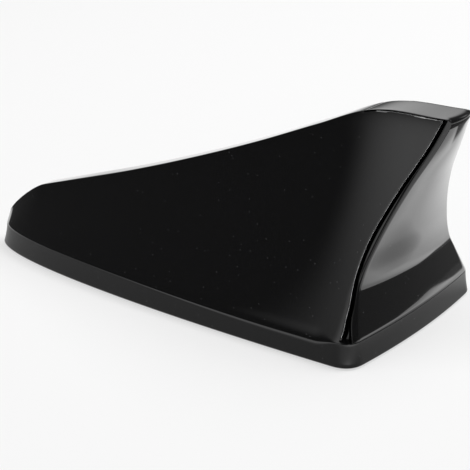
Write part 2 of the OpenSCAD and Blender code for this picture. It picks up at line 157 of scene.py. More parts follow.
def tail_x(v):
    """Where the rear face stands at v = 0, its foot, to v = 1, its top."""
    return REAR_X + curve(TAIL, v)


def flank_y(x, v):
    """Half width of the fin at v = 0, the skirt's top, to v = 1, the ridge."""
    s = np.clip((x - NOSE_X) / BASE_LEN, 0, 1)
    hollow = HOLLOW + HOLLOW_REAR * s
    w = ridge_half(x)
    return w + (skirt_half(x, 1) - w) * np.maximum(1 - v, 0)**hollow


tail_high, rear_half = float(ridge_z(85)), float(skirt_half(70, 1))
print("ridge", round(tail_high, 2), "mm high at the tail; half width", round(rear_half, 2), "mm at the rear")

# %% [markdown]
# One row of the fin is drawn as a fine line, and any number of points can then be read off it at
# even steps. The line starts at the nose, turns the upright corner on a small curve and ends in
# the middle of the rear face, which bows out a little.

# %% The corner and the rear of a row
SIDE_POINTS, BEND_POINTS, REAR_POINTS = 1500, 60, 120
CORNER_AT = SIDE_POINTS + BEND_POINTS - 2


def side_steps(x0, x1):
    """Places along the side of a row, closer together at both of its ends."""
    return x0 + (x1 - x0) * (1 - np.cos(np.pi * np.linspace(0, 1, SIDE_POINTS))) / 2


def corner_and_rear(xs, ys, zs, end, ye, ze, radius, sag):
    """Adds a rounded corner and the bowed rear edge to the side of a row."""
    t = np.linspace(0, 1, BEND_POINTS)[1:]
    yq = ye - radius
    p, c = np.array([xs[-1], ys[-1], zs[-1]]), np.array([end, ye, zs[-1]])
    q = np.array([end + sag * (1 - (yq / ye)**2), yq, ze])
    bend = [p[k] * (1 - t)**2 + 2 * c[k] * t * (1 - t) + q[k] * t**2 for k in range(3)]
    f = np.linspace(1, 0, REAR_POINTS)[1:]
    rear = [end + sag * (1 - (yq * f / ye)**2), yq * f, np.full_like(f, ze)]
    return np.array([np.concatenate([a, b, d]) for a, b, d in zip((xs, ys, zs), bend, rear)]).T


print("a row has", SIDE_POINTS + BEND_POINTS + REAR_POINTS - 2, "points")

# %% [markdown]
# There are three kinds of rows. Those of the skirt lean in a little as they rise. Those of the
# flank end on the hollow rear face. Those of the crown close over the ridge, and their rear end
# turns down into the rear face, which makes the soft upper edge of the plateau.

# %% Rows of the skirt, the flank and the crown
SKIRT_BOW = 0.6
SOFT_CORNER = 6
SAG_AT_TOP = 0.4
CROWN_POWER, CROWN_TIGHTER, WIDEST_TURN = 0.714, 0.55, 0.45
TURN_SHARE, SET_BACK, MIDDLE_BACK = 0.6, 2.6, 2.9


def skirt_line(t):
    """A row of the skirt at t = 0, the rim, to t = 1, its top."""
    f = t + SKIRT_BOW * t * (1 - t)
    x0, end = NOSE_X + NOSE_DRAFT * f, REAR_X - SKIRT_DRAFT * f
    radius = CORNER_R - f
    x = side_steps(x0, end - radius)
    z = RIM + SKIRT_H * t
    return corner_and_rear(x, skirt_half(x, f), np.full_like(x, z), end, float(skirt_half(end, f)),
                           z, radius, SAG)


def flank_line(v):
    """A row of the flank and rear face at v = 0, the skirt's top, to v = 1, the ridge."""
    low = v - LOWER * v**2
    x0, end = NOSE_X + NOSE_DRAFT, float(tail_x(low))
    radius = EDGE_R + (CORNER_R - 1 - EDGE_R) * (1 - v)**SOFT_CORNER
    x = side_steps(x0, end - radius)
    z = SKIRT_TOP + (ridge_z(x) - SKIRT_TOP) * v
    z_end = SKIRT_TOP + (float(ridge_z(end)) - SKIRT_TOP) * low
    return corner_and_rear(x, flank_y(x, v), z, end, float(flank_y(end, v)),
                           z_end, radius, SAG * (1 - (1 - SAG_AT_TOP) * v))


def crown_line(t):
    """A row over the ridge, t = 0 at its edge to t = 1 in the middle."""
    a = t * math.pi / 2
    f, up = math.cos(a)**CROWN_POWER, CROWN * math.sin(a)**CROWN_POWER
    bend, more = min(t / TURN_SHARE, 1), max(t - TURN_SHARE, 0) / (1 - TURN_SHARE)
    first = float(tail_x(1) - tail_x(1 - LOWER))
    rear_back = first * (1 - bend)**2 + SET_BACK * bend**2 + MIDDLE_BACK * more
    x0, end = NOSE_X + NOSE_DRAFT, float(tail_x(1)) - rear_back
    ye = max(float(ridge_half(end)) * f, 1e-6)
    radius = min(EDGE_R * (1 - CROWN_TIGHTER * t) * f, WIDEST_TURN * ye)
    x = side_steps(x0, end - radius)
    z = ridge_z(x) + up * ridge_half(x) / PLATEAU
    z_end = float(ridge_z(end)) + up - TOP_R * (1 - bend)**2
    return corner_and_rear(x, ridge_half(x) * f, z, end, ye, z_end, radius, SAG * SAG_AT_TOP * f)


print("rows run from", np.round(flank_line(0.5)[0], 1), "to", np.round(flank_line(0.5)[-1], 1))

# %% [markdown]
# A row is read like a tape measure: by the distance along it, or by the place where its side
# reaches a given x.

# %% Reading points off a row
def along(line):
    """The distance from the nose to each point of a row."""
    return np.concatenate([[0], np.cumsum(np.linalg.norm(np.diff(line, axis=0), axis=1))])


def at_x(line, x):
    """How far along a row its side reaches x."""
    far = np.argmax(line[:, 0])
    return np.interp(x, line[:far + 1, 0], along(line)[:far + 1])


def read(line, s):
    """Points on a row at the distances s."""
    d = along(line)
    return np.stack([np.interp(s, d, line[:, k]) for k in range(3)], -1)


print("the middle row is", round(float(along(flank_line(0.5))[-1])), "mm long")

# %% [markdown]
# The faces of the fin curve two ways at once and carry mirror-like reflections, which show every
# dent. Extruding and pulling by hand can't keep them smooth, so each face starts as a grid and
# its points are set on the rows. Only the half on the camera's side is made, and mirrored later.

# %% Drape a grid over points
def clear_selection():
    if bpy.context.object and bpy.context.object.mode != "OBJECT":
        bpy.ops.object.mode_set(mode="OBJECT")
    bpy.ops.object.select_all(action="DESELECT")


def draped_grid(name, points):
    """A grid whose points lie on a stack of rows, points[row, column], in millimetres."""
    clear_selection()
    high, wide = points.shape[:2]
    bpy.ops.mesh.primitive_grid_add(x_subdivisions=wide - 1, y_subdivisions=high - 1, size=2)
    made = bpy.context.object
    made.name = name
    flat = np.zeros(len(made.data.vertices) * 3)
    made.data.vertices.foreach_get("co", flat)
    flat = flat.reshape(-1, 3)
    i = np.rint((flat[:, 0] + 1) / 2 * (wide - 1)).astype(int)
    j = np.rint((flat[:, 1] + 1) / 2 * (high - 1)).astype(int)
    placed = points[j, i] * [1, -1, 1] / 1000
    made.data.vertices.foreach_set("co", placed.ravel())
    made.data.update()
    return made


print("a grid is draped on the side of the camera, at y below 0")

# %% [markdown]
# A real moulding has an even wall of about two millimetres and edges that are broken by a tenth
# or two. Solidify gives the wall, thinner in the tip of the nose, where a full wall would run into
# itself. Bevel breaks the edges. It is led by weights, because it may touch only the sharp edges
# of the outer skin that have room beside them: at cramped edges and inside it throws up spikes.

# %% From the grids of one half to a thick shell
NOSE_TAPER, THINNEST = 0.012, 0.02
SHARP_ANGLE, SMOOTH_ANGLE = math.radians(55), math.radians(45)
SEW_GAP, MIRROR_GAP = 2e-6, 5e-6


def join_half(name, grids):
    """Joins the grids of one half and closes the seams between them."""
    clear_selection()
    for g in grids:
        g.select_set(True)
    bpy.context.view_layer.objects.active = grids[0]
    bpy.ops.object.join()
    shell = bpy.context.object
    shell.name = shell.data.name = name
    bpy.ops.object.mode_set(mode="EDIT")
    bpy.ops.mesh.select_all(action="SELECT")
    bpy.ops.mesh.remove_doubles(threshold=SEW_GAP)
    bpy.ops.object.mode_set(mode="OBJECT")
    return shell


def mirror_and_wall(shell, nose):
    """Mirrors the half and gives it a wall; gives back how many points its outer skin has."""
    mirror = shell.modifiers.new("mirror", "MIRROR")
    mirror.use_axis = (False, True, False)
    mirror.merge_threshold = MIRROR_GAP
    solid = shell.modifiers.new("wall", "SOLIDIFY")
    solid.thickness, solid.offset = WALL / 1000, -1
    thin = shell.vertex_groups.new(name="wall")
    front = min(v.co.x for v in shell.data.vertices)
    for v in shell.data.vertices:
        share = min(1, max(THINNEST, (v.co.x - front) / NOSE_TAPER)) if nose else 1
        thin.add([v.index], share, "REPLACE")
    solid.vertex_group = thin.name
    bpy.ops.object.modifier_apply(modifier="mirror")
    outside = len(shell.data.vertices)
    bpy.ops.object.modifier_apply(modifier="wall")
    return outside


def break_edges(shell, outside, width, room):
    """Bevels the sharp edges of the outer skin whose neighbours are longer than the room."""
    clear_selection()
    shell.select_set(True)
    bpy.context.view_layer.objects.active = shell
    bm = bmesh.new()
    bm.from_mesh(shell.data)
    weight = bm.edges.layers.float.new("bevel_weight_edge")
    for e in bm.edges:
        skin = max(v.index for v in e.verts) < outside
        free = min(k.calc_length() for v in e.verts for k in v.link_edges) > room / 1000
        e[weight] = 1 if skin and free and e.calc_face_angle(0) > SHARP_ANGLE else 0
    bm.to_mesh(shell.data)
    bm.free()
    bevel = shell.modifiers.new("edges", "BEVEL")
    bevel.width, bevel.segments, bevel.limit_method = width / 1000, 3, "WEIGHT"
    bevel.use_clamp_overlap = False
    bpy.ops.object.modifier_apply(modifier="edges")


def thick_shell(name, grids, edge, room, nose=False):
    """A whole shell from the grids of one half, with a wall and broken edges."""
    shell = join_half(name, grids)
    outside = mirror_and_wall(shell, nose)
    break_edges(shell, outside, edge, room)
    bpy.ops.object.shade_smooth_by_angle(angle=SMOOTH_ANGLE)
    return shell


print("shells get a wall of", WALL, "mm")

# %% [markdown]
# The cover runs from the nose to the groove. Its columns go along the rows, so the last column
# is the edge of the groove. The skirt's columns carry on round the corner to the rear, where the
# skirt ends in a flat ledge that carries the tail panel. One column stands under the front end of
# the plateau at all heights, so that the cover's top can be sewn to its side.

# %% Columns and rows of the cover
TO_LID, TO_GROOVE, TO_REAR = 140, 30, 90
SKIRT_ROWS, FLANK_ROWS = 41, 121
LID_FOOT, LID_LEAN = 50, 12.75
FLARE = 24
CROWD_AT_NOSE, CROWD_AT_TOP = 1.5, 1.3
V_SEAM = 1 - (LID_RIM + SEAM) / (FIN_TOP - SKIRT_TOP)
V_LID = 1 - LID_RIM / (FIN_TOP - SKIRT_TOP)


def lid_column(v):
    """Where the column under the plateau's front end stands on a row."""
    return LID_FOOT + LID_LEAN * v


def nose_steps(line, x_lid):
    """Distances from the nose to x_lid, closer together at the nose."""
    return at_x(line, x_lid) * np.linspace(0, 1, TO_LID)**CROWD_AT_NOSE


def side_columns(line, x_lid, x_end):
    """Points on the side of a row, from the nose over x_lid to the groove."""
    first = nose_steps(line, x_lid)
    rest = np.linspace(first[-1], at_x(line, x_end), TO_GROOVE)[1:]
    return read(line, np.concatenate([first, rest]))


def rear_columns(line, x_start):
    """Points on a row from the groove round the corner to the middle of the rear."""
    return read(line, np.linspace(at_x(line, x_start), along(line)[-1], TO_REAR))


def panel_x(v):
    """The panel's edge along the groove, which is a little wavy."""
    return float(tail_x(v - LOWER * v**2) - curve(PANEL_EDGE, v))


def groove_x(v):
    """The cover's edge along the groove, which flares out at the skirt."""
    return panel_x(v) - GROOVE - (GROOVE_FOOT - GROOVE) * (1 - v)**FLARE


def resample(rows, at, wanted):
    """Reads each column of a stack of rows at its own list of heights."""
    out = np.zeros((wanted.shape[0], rows.shape[1], 3))
    for c in range(rows.shape[1]):
        for k in range(3):
            out[:, c, k] = np.interp(wanted[:, c], at, rows[:, c, k])
    return out


skirt_t = np.linspace(0, 1, SKIRT_ROWS)
skirt_side = np.array([side_columns(skirt_line(t), LID_FOOT, groove_x(0)) for t in skirt_t])
skirt_rear = np.array([rear_columns(skirt_line(t), groove_x(0)) for t in skirt_t])
flank_v = V_SEAM * (1 - (1 - np.linspace(0, 1, FLANK_ROWS))**CROWD_AT_TOP)
flank_side = np.array([side_columns(flank_line(v), lid_column(v), groove_x(v)) for v in flank_v])
print("cover columns:", flank_side.shape[1], "rows read:", len(flank_v))

# %% [markdown]
# Where the skirt meets the flank the real edge is crisp at the nose, grows soft towards the rear
# and is crisp again at the corner. A bevel has one width, so each column gets its own small curve
# instead, from a point below the edge to one above it.

# %% How soft the skirt's upper edge is
CRISP, SOFTER, CORNER_LESS = 0.3, 2.4, 2.35
SOFTER_FROM, SOFTER_OVER = -40, 95
CORNER_FROM, CORNER_OVER = 66, 8
MOST_OF_RISE, LEAST_SOFT = 0.3, 0.02


def smooth(t):
    t = np.clip(t, 0, 1)
    return t * t * (3 - 2 * t)


edge = flank_side[0]
softness = CRISP + SOFTER * smooth((edge[:, 0] - SOFTER_FROM) / SOFTER_OVER)
softness = softness - CORNER_LESS * smooth((edge[:, 0] - CORNER_FROM) / CORNER_OVER)
rise = np.maximum(ridge_z(edge[:, 0]) - SKIRT_TOP, 1e-6)
softness = np.minimum(softness, MOST_OF_RISE * rise + LEAST_SOFT)
v_start = np.minimum(softness / rise, MOST_OF_RISE)
t_end = 1 - softness / SKIRT_H
print("soft edge from", round(float(softness.min()), 2), "to", round(float(softness.max()), 2), "mm")

# %% Skirt, soft edge and flank
RIM_R, RIM_IN = 0.6, 1.5
RIM_TURN, EDGE_TURN, UPPER_ROWS, CROWD_UPPER = 4, 6, 62, 1.25
WALL_STEPS = np.array([0, 0.12, 0.3, 0.5, 0.7, 0.88, 1])[:, None]


def between(first, middle, last, count):
    """Rows that turn from one row to another, rounding the corner between them."""
    b = np.linspace(0, 1, count + 2)[1:-1, None, None]
    return first * (1 - b)**2 + 2 * middle * b * (1 - b) + last * b**2


def inward_from(line):
    """The level direction into the part, square to a row that runs from the nose to the rear."""
    step = np.gradient(line, axis=0)
    if line[0, 1] < 1e-6:
        step[0] = (0, 1, 0)
    if line[-1, 1] < 1e-6:
        step[-1, 0] = 0
    across = np.stack([-step[:, 1], step[:, 0], 0 * step[:, 0]], -1)
    return -across / np.linalg.norm(across, axis=1)[:, None]


def skirt_rows(rows, top):
    """The rim, turned under at the bottom, and the outside of the skirt."""
    foot, t_low = rows[0], RIM_R / SKIRT_H
    into = inward_from(foot)
    under = [foot + RIM_IN * into, foot + RIM_R * into]
    wall = resample(rows, skirt_t, t_low + (top - t_low) * WALL_STEPS)
    return np.concatenate([under, between(under[1], foot, wall[0], RIM_TURN), wall])


lower = skirt_rows(skirt_side, t_end)
climb = (1 - (1 - np.linspace(0, 1, UPPER_ROWS))**CROWD_UPPER)[:, None]
upper = resample(flank_side, flank_v, v_start + (V_SEAM - v_start) * climb)
turn = between(lower[-1], edge, upper[0], EDGE_TURN)
side = np.concatenate([lower, turn, upper])
cover_grids = [draped_grid("cover_side", side)]
print("cover side:", side.shape[0], "rows")

# %% [markdown]
# Behind the corner the skirt is a plain band with a flat shelf on top, on which the tail panel
# stands. Its first columns are blended with the flank's, so that no seam shows at the groove.

# %% Rear of the skirt and its ledge
LIP, SHELF, BLEND_COLUMNS = 0.35, (1.2, 4.0), 5

rear_low = skirt_rows(skirt_rear, np.full(TO_REAR, t_end[-1]))
rear_low[:, 0] = lower[:, -1]
rim_top = resample(skirt_rear, skirt_t, np.full((1, TO_REAR), (LEDGE - RIM) / SKIRT_H))[0]
inward = inward_from(rim_top)
lip = rim_top + LIP * inward
flat = np.concatenate([between(rear_low[-1], rim_top, lip, EDGE_TURN), [lip]])
start = np.concatenate([turn[:, -1:], upper[:1, -1:]]) - lower[-1, -1] + rear_low[-1]
share = smooth(np.arange(TO_REAR) / BLEND_COLUMNS)[None, :, None]
rear_turn = start * (1 - share) + flat * share
shelf = rear_turn[-1] + np.array(SHELF)[:, None, None] * inward
rear = np.concatenate([rear_low, rear_turn, shelf])
cover_grids.append(draped_grid("cover_rear", rear))
print("rear of the skirt:", rear.shape[:2])

# %% [markdown]
# Over the nose and the ridge the rows close in on the middle line. The cover ends here at a
# hairline seam, behind which the plateau belongs to the tail panel.

# %% Ridge of the cover and the finished cover
CROWN_ROWS, SHOULDER_ROWS = 15, 4

crown_rows = [crown_line(t) for t in np.linspace(0, 1, CROWN_ROWS)[1:]]
shoulder_v = np.linspace(V_SEAM, 1, SHOULDER_ROWS)
top_rows = [flank_line(v) for v in shoulder_v] + crown_rows
top_x = [lid_column(v) for v in shoulder_v] + [LID_X - SEAM] * len(crown_rows)
top = np.array([read(line, nose_steps(line, x)) for line, x in zip(top_rows, top_x)])
top[0] = side[-1, :TO_LID]
top[-1, :, 1] = 0
cover_grids.append(draped_grid("cover_top", top))
fin_cover = thick_shell("fin_cover_skin", cover_grids, edge=0.2, room=0.14, nose=True)
print("cover:", len(fin_cover.data.polygons), "faces")

# %% [markdown]
# The tail panel is the second moulding. It starts at the other side of the groove, turns the
# upright corner into the hollow rear face, and reaches forward over the top as the plateau.

# %% Tail panel
TO_CORNER, ACROSS, LID = 12, 44, 30
FACE_ROWS, FINE_FROM, FINE_ROWS = 60, 0.9, 10
LEAST_SIDE, STAND = 1.0, 0.02


def panel_columns(line, x_start, x_front=None):
    """Points on a row from the groove, or from the plateau's front, to the middle of the rear."""
    s = along(line)
    s_corner = s[CORNER_AT]
    s_in = min(at_x(line, x_start), s_corner - LEAST_SIDE)
    parts = [np.linspace(s_in, s_corner, TO_CORNER), np.linspace(s_corner, s[-1], ACROSS)[1:]]
    if x_front is not None:
        parts.insert(0, np.linspace(at_x(line, x_front), s_in, LID)[:-1])
    return read(line, np.concatenate(parts))


panel_v = np.concatenate([np.linspace(0, FINE_FROM, FACE_ROWS), np.linspace(FINE_FROM, V_LID, FINE_ROWS)[1:]])
face = np.array([panel_columns(flank_line(v), panel_x(v)) for v in panel_v])
face[0, :, 2] = LEDGE + STAND
lid_rows = [flank_line(V_LID)] + crown_rows
lid = np.array([panel_columns(line, panel_x(1), LID_X) for line in lid_rows])
lid[0, LID - 1:] = face[-1]
lid[-1, :, 1] = 0
panel_grids = [draped_grid("panel_face", face), draped_grid("panel_lid", lid)]
print("panel face:", face.shape[:2], "lid:", lid.shape[:2])

# %% [markdown]
# Behind the groove a tongue of the panel closes the gap, so that the groove reads as a black line
# with a floor. It lies about two millimetres inside the flank, and a little deeper at the foot.

# %% Tongue behind the groove
TONGUE_FRONT, TONGUE_REAR = 2, 0.8
TONGUE_IN, TONGUE_DEEPER = 2.3 / 1.2, 0.9
TONGUE_COLUMNS, TONGUE_ROWS, TONGUE_TOP = 8, 40, 0.97


def tongue_row(v):
    """A row of the tongue, from ahead of the groove to behind the panel's edge."""
    line = flank_line(v)
    x = np.linspace(groove_x(v) - TONGUE_FRONT, panel_x(v) + TONGUE_REAR, TONGUE_COLUMNS)
    at = read(line, np.interp(x, line[:, 0], along(line)))
    at[:, 1] -= TONGUE_IN * (1 + TONGUE_DEEPER * (1 - v))
    return at


tongue = np.array([tongue_row(v) for v in np.linspace(0, TONGUE_TOP, TONGUE_ROWS)])
panel_grids.append(draped_grid("panel_tongue", tongue))
tail_panel = thick_shell("tail_panel_skin", panel_grids, edge=0.15, room=0.085)
panel_top = max(v.co.z for v in tail_panel.data.vertices)
print("tail panel:", len(tail_panel.data.polygons), "faces; top at", round(1000 * panel_top, 2), "mm")

for piece, node in ((fin_cover, "fin_cover"), (tail_panel, "tail_panel")):
    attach(piece, "root")
    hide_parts(node)

# %% [markdown]
# Finishes are written as sums in Python. The class below wraps one socket of a material's nodes,
# so that an expression such as 1 - mask adds the Math nodes by itself. Its method node() adds any
# other node, and a few short methods stand for the nodes that are used often.

# %% Writing a finish
class Socket:
    """A socket that can stand in a Python sum."""

    def __init__(self, tree, socket=None):
        self.tree, self.socket = tree, socket

    def node(self, kind, settings=None, sockets=None, out=0):
        """Adds a node: its settings first, then the values or links of its sockets."""
        n = self.tree.nodes.new("ShaderNode" + kind)
        for key, value in (settings or {}).items():
            if key == "stops":
                ramp = n.color_ramp.elements
                while len(ramp) < len(value):
                    ramp.new(0.5)
                for stop, (place, shade) in zip(ramp, value):
                    stop.position, stop.color = place, (*shade, 1)
            else:
                setattr(n, key, value)
        for key, value in (sockets or {}).items():
            self.fill(n.inputs[key], value)
        return Socket(self.tree, n.outputs[out])

    def fill(self, where, value):
        if isinstance(value, Socket):
            self.tree.links.new(value.socket, where)
        else:
            where.default_value = value

    def maths(self, operation, *values):
        return self.node("Math", {"operation": operation}, dict(enumerate(values)))

    def __add__(self, other):
        return self.maths("ADD", self, other)

    def __sub__(self, other):
        return self.maths("SUBTRACT", self, other)

    def __rsub__(self, other):
        return self.maths("SUBTRACT", other, self)

    def __mul__(self, other):
        return self.maths("MULTIPLY", self, other)

    def __gt__(self, other):
        return self.maths("GREATER_THAN", self, other)

    def __lt__(self, other):
        return self.maths("LESS_THAN", self, other)

    __radd__, __rmul__ = __add__, __mul__

    def vector(self, operation, second=(0, 0, 0), out=0):
        """A sum on all three numbers of a vector or colour."""
        return self.node("VectorMath", {"operation": operation}, {0: self, 1: second}, out=out)

    def axis(self, number):
        """One number of a vector: 0 for x, 1 for y, 2 for z."""
        return self.node("SeparateXYZ", None, {0: self}, out=number)

    def greys(self, *stops):
        """Turns a value into a grey, by stops that each have a place and a shade."""
        return self.node("ValToRGB", {"stops": [(at, (shade,) * 3) for at, shade in stops]}, {0: self})

    def noise(self, scale, detail=3, rough=0.5):
        """Noise in the object's own metres; the scale counts features to the metre."""
        sockets = {"Vector": self, "Scale": scale, "Detail": detail, "Roughness": rough}
        return self.node("TexNoise", None, sockets)

    def blend(self, factor, first, second):
        """Mixes two colours by a value."""
        return self.node("Mix", {"data_type": "RGBA"}, {0: factor, 6: first, 7: second}, out=2)


def new_finish(name):
    """A material with a plain shader; gives back also the object coordinates and the shader."""
    material = bpy.data.materials.new(name)
    material.use_nodes = True
    tree = material.node_tree
    tree.nodes.clear()
    shader = tree.nodes.new("ShaderNodeBsdfPrincipled")
    output = tree.nodes.new("ShaderNodeOutputMaterial")
    tree.links.new(shader.outputs[0], output.inputs[0])
    place = Socket(tree).node("TexCoord", out=3)
    return material, place, shader


def preset(shader, values):
    """Sets plain values on a shader, by the names of its sockets."""
    for key, value in values.items():
        shader.inputs[key].default_value = value


def bumped(place, shader, height, depth, strength=1.0):
    """Lets a height in metres tilt the surface."""
    bump = place.node("Bump", None, {"Height": height, "Distance": depth, "Strength": strength})
    place.fill(shader.inputs["Normal"], bump)


print("finishes are written with", len([m for m in dir(Socket) if not m.startswith("_")]), "named methods")

# %% [markdown]
# The cover and the panel are moulded in black and polished. Such a surface is close to black on
# its own and takes all its looks from what it mirrors. Three faint things make it real: a soft
# ripple from the mould, slow changes in polish, and a few specks of dust. The dust is a pattern of
# dots in which only some lots are kept, because loose specks would be thousands of small pieces.

# %% Polished black moulding
DUST_PER_METRE, DUST_SIZE, DUST_KEPT = 520, 0.075, 0.62
DUST_GREY = (0.16, 0.16, 0.165, 1)


def polished_black(name, shade, shift):
    """Black gloss under a clear coat; the shift gives each moulding its own pattern."""
    material, place, shader = new_finish(name)
    place = place.node("Mapping", None, {"Vector": place, "Location": (shift, shift, 0)})

    def dots(out):
        sockets = {"Vector": place, "Scale": DUST_PER_METRE, "Randomness": 1.0}
        return place.node("TexVoronoi", None, sockets, out=out)

    lot = place.node("TexWhiteNoise", None, {"Vector": dots(2)})
    dust = (dots(0) < DUST_SIZE) * (lot > DUST_KEPT)
    polish = place.noise(38, 4, 0.6)
    place.fill(shader.inputs["Base Color"], place.blend(dust * 0.55, shade, DUST_GREY))
    place.fill(shader.inputs["Roughness"], 0.035 + polish * 0.035 + dust * 0.25)
    preset(shader, {"Coat Weight": 1.0, "Coat Roughness": 0.02, "Coat IOR": 1.3})
    bumped(place, shader, place.noise(420, 2, 0.4) + place.noise(90, 2, 0.4) * 2.0, 0.000004, 0.35)
    return material


cover_black = polished_black("fin_cover", (0.0032, 0.0032, 0.0035, 1), 0.0)
panel_black = polished_black("tail_panel", (0.0034, 0.0034, 0.0036, 1), 0.3)
for piece, material in ((fin_cover, cover_black), (tail_panel, panel_black)):
    piece.data.materials.clear()
    piece.data.materials.append(material)
print("polished black on", fin_cover.name, "and", tail_panel.name)

# %% [markdown]
# Along the groove and beside the plateau the cover's edge shows as a thin light line, a highlight
# on its rounded edge. The bevel alone is too narrow to catch that light, so the few faces on the
# edge get a pale colour that the lamps light up: a painted highlight.

# %% Painted highlight along the groove's edge
HIGHLIGHT_WIDTH, SEAM_SKIP = 0.11, 4


def distance_to(line, points):
    """How far each point is from a bent line."""
    near = np.full(len(points), np.inf)
    for a, b in zip(line[:-1], line[1:]):
        t = np.clip((points - a) @ (b - a) / max((b - a) @ (b - a), 1e-9), 0, 1)[:, None]
        near = np.minimum(near, np.linalg.norm(points - a - t * (b - a), axis=1))
    return near


# Painted highlight: a pale, patchy base colour on the edge faces stands in for light caught by the edge.
painted_highlight, place, shader = new_finish("painted_edge_highlight")
patches = place.noise(260, 4, 0.7)
shades = {"stops": [(0.3, (0.35, 0.35, 0.35)), (0.6, (0.92, 0.92, 0.93))]}
place.fill(shader.inputs["Base Color"], place.node("ValToRGB", shades, {0: patches}))
place.fill(shader.inputs["Roughness"], 0.3 + 0.2 * patches)
fin_cover.data.materials.append(painted_highlight)
rim = np.concatenate([side[len(lower):, -1], side[-1, TO_LID + SEAM_SKIP:]])
centres = np.zeros(len(fin_cover.data.polygons) * 3)
fin_cover.data.polygons.foreach_get("center", centres)
centres = centres.reshape(-1, 3) * 1000
centres[:, 1] = np.abs(centres[:, 1])
on_edge = distance_to(rim, centres) < HIGHLIGHT_WIDTH
fin_cover.data.polygons.foreach_set("material_index", on_edge.astype(int))
print("rubbed faces:", int(on_edge.sum()))

# %% [markdown]
# The other pieces keep the shape of their solids. Each gets the finish that its real counterpart
# has: matt moulded plastic, foam, rubber, tinned sheet, brass, copper wire, board lacquer. One
# function makes each kind, so that two pieces of one kind differ only in colour and grain.

# %% Matt mouldings, foam, metal and board
def matt(name, first, second, rough, grain, depth, patch=60):
    """Moulded plastic or rubber: a cloudy colour and a fine grain."""
    material, place, shader = new_finish(name)
    cloud = place.noise(patch, 4, 0.55)
    place.fill(shader.inputs["Base Color"], place.blend(cloud, (*first, 1), (*second, 1)))
    place.fill(shader.inputs["Roughness"], rough + 0.18 * cloud)
    bumped(place, shader, place.noise(grain, 3, 0.6), depth, 0.6)
    return material


def foam(name, first, second, cell):
    """Foam: rounded cells, darker between them."""
    material, place, shader = new_finish(name)
    cells = place.node("TexVoronoi", None, {"Vector": place, "Scale": cell})
    place.fill(shader.inputs["Base Color"], place.blend(cells, (*second, 1), (*first, 1)))
    place.fill(shader.inputs["Roughness"], 0.8 + 0.15 * cells)
    bumped(place, shader, cells, 0.0003, 0.8)
    return material


def metal(name, first, second, rough, stretch=(1, 1, 1), grain=700):
    """Metal with faint lines, drawn out along the axis that the stretch makes small."""
    material, place, shader = new_finish(name)
    lines = place.node("Mapping", None, {"Vector": place, "Scale": stretch}).noise(grain, 3, 0.6)
    stain = place.noise(70, 4, 0.6)
    place.fill(shader.inputs["Base Color"], place.blend(stain, (*first, 1), (*second, 1)))
    place.fill(shader.inputs["Roughness"], rough + 0.12 * lines + 0.1 * stain)
    preset(shader, {"Metallic": 1.0})
    bumped(place, shader, lines, 0.00002, 0.4)
    return material


def board_lacquer(name):
    """Green lacquer over glass cloth, with the tracks as raised bricks."""
    material, place, shader = new_finish(name)
    tracks = place.node("TexBrick", {"offset": 0.37, "squash": 0.7, "squash_frequency": 3}, {
        "Vector": place, "Scale": 160, "Mortar Size": 0.035, "Mortar Smooth": 0.1,
        "Brick Width": 0.9, "Row Height": 0.31}, out=1)
    cloth = place.noise(900, 2, 0.5)
    green = place.blend(cloth, (0.012, 0.085, 0.035, 1), (0.018, 0.11, 0.05, 1))
    place.fill(shader.inputs["Base Color"], place.blend(tracks * 0.7, green, (0.05, 0.2, 0.085, 1)))
    place.fill(shader.inputs["Roughness"], 0.28 + 0.12 * cloth)
    bumped(place, shader, tracks, 0.00004, 0.6)
    return material


print("kinds of finish:", [kind.__name__ for kind in (matt, foam, metal, board_lacquer)])

# %% [markdown]
# Each solid is named with its kind of finish, two colours between which it varies, how rough it
# is, and then its grain and depth, or for metal the direction of its lines. The foam takes only
# its colours and the size of its cells, and the board has a finish of its own.

